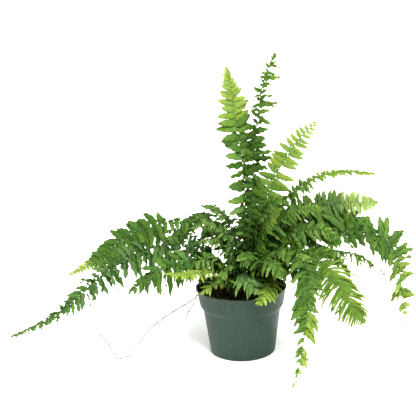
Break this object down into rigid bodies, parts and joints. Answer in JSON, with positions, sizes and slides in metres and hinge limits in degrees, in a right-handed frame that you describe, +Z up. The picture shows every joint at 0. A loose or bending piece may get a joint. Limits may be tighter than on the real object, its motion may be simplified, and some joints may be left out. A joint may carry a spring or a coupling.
{
  "type": "potted fern",
  "caption": "Sword fern with arching feather-like fronds of many leaflets, rooted in potting mix in a plain tapered nursery pot with a stacking collar, and trailing wiry runners.",
  "frame": {"origin": "centre of the pot's flat underside, on the surface that it stands on", "axes": "+Z up, through the middle of the pot's rim; +X towards the side where the shorter of the two widest fronds falls; -Y towards the side with the low fresh fronds over the rim"},
  "size_m": [0.7019, 0.4512, 0.5033],
  "materials": {
    "pot_plastic": "satin",
    "potting_mix": "matte",
    "mature_leaf": "satin",
    "young_leaf": "satin",
    "runner": "matte"
  },
  "bodies": {
    "root": {"frond_back_high": "mature_leaf", "frond_back_left": "mature_leaf", "frond_back_left_low": "mature_leaf", "frond_back_middle": "mature_leaf", "frond_back_right": "mature_leaf", "frond_back_right_low": "mature_leaf", "frond_front_left_fresh": "young_leaf", "frond_front_middle": "mature_leaf", "frond_front_right_fresh": "young_leaf", "frond_left_behind": "mature_leaf", "frond_left_fresh": "young_leaf", "frond_left_long": "mature_leaf", "frond_left_low": "mature_leaf", "frond_left_upper": "mature_leaf", "frond_middle_crown": "mature_leaf", "frond_middle_fresh": "young_leaf", "frond_middle_front": "mature_leaf", "frond_middle_front_left": "mature_leaf", "frond_middle_high": "mature_leaf", "frond_middle_left": "mature_leaf", "frond_middle_left_back": "mature_leaf", "frond_middle_left_fine": "mature_leaf", "frond_middle_left_front": "mature_leaf", "frond_middle_left_high": "mature_leaf", "frond_middle_left_low": "mature_leaf", "frond_middle_right": "mature_leaf", "frond_middle_right_front": "mature_leaf", "frond_middle_right_high": "mature_leaf", "frond_middle_right_low": "mature_leaf", "frond_right_behind": "mature_leaf", "frond_right_fresh_fall": "young_leaf", "frond_right_front_fall": "mature_leaf", "frond_right_long": "mature_leaf", "frond_right_thin_high": "young_leaf", "frond_right_thin_low": "mature_leaf", "frond_right_upper": "mature_leaf", "frond_upper_right_fresh": "young_leaf", "frond_upright_left": "mature_leaf", "frond_upright_tall": "mature_leaf", "pot": "pot_plastic", "potting_mix": "potting_mix", "runner_long": "runner", "runner_short": "runner"}
  },
  "joints": []
}
